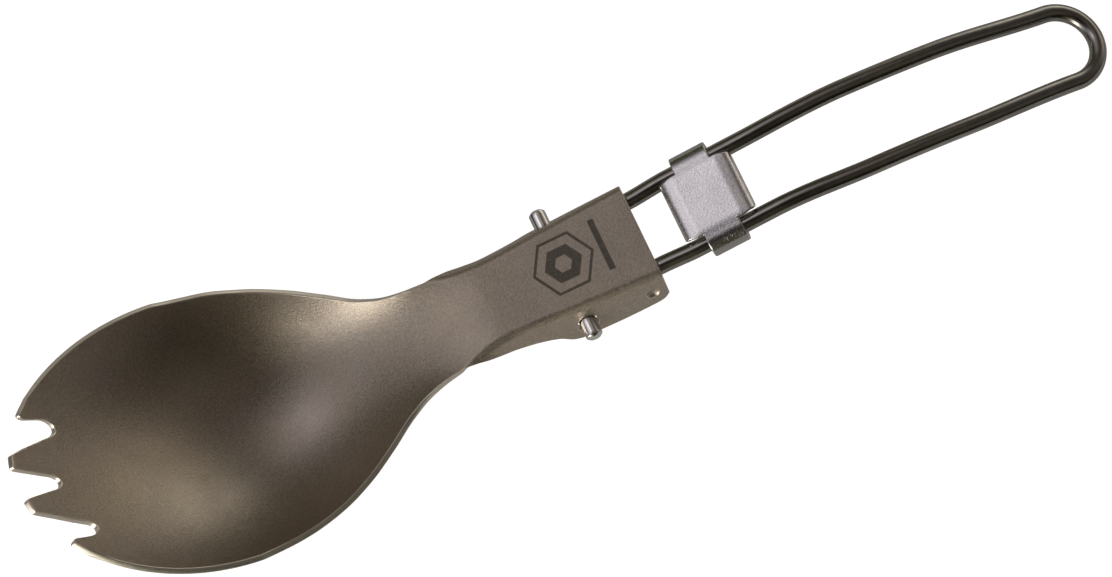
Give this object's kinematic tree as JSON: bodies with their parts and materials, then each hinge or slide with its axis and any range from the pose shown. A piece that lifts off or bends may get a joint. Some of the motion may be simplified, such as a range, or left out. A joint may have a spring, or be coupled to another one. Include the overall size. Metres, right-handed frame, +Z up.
{
  "type": "folding camping spork",
  "caption": "Folding spork: a stamped titanium bowl with short tines and a channel neck, a wire loop handle that folds on its own pins, and a sliding lock clip.",
  "frame": {"origin": "on the surface it stands on, below the middle of its length, unfolded, resting on the bottom of the bowl and on the handle's loop end", "axes": "+X along the length from the tines to the handle's loop, +Y across, +Z up out of the bowl and out of the channel's flat top"},
  "size_m": [0.164, 0.0408, 0.0308],
  "materials": {
    "head_titanium": "sandblasted satin titanium, warm grey-brown",
    "handle_wire": "polished drawn wire",
    "slider_steel": "satin stamped stainless sheet with bright edges"
  },
  "bodies": {
    "head": {"spork_head": "head_titanium"},
    "handle": {"wire_handle": "handle_wire"},
    "slider": {"lock_slider": "slider_steel"}
  },
  "joints": [
    {"name": "handle_fold", "type": "hinge", "parent": "head", "child": "handle", "pos_m": [-0.00196, 0, 0.00793], "axis": [0, 1, 0], "range_deg": [0, 174]},
    {"name": "lock_slide", "type": "slide", "parent": "handle", "child": "slider", "axis": [0.9917, 0, 0.1288], "range_m": [-0.0047, 0.006]}
  ]
}
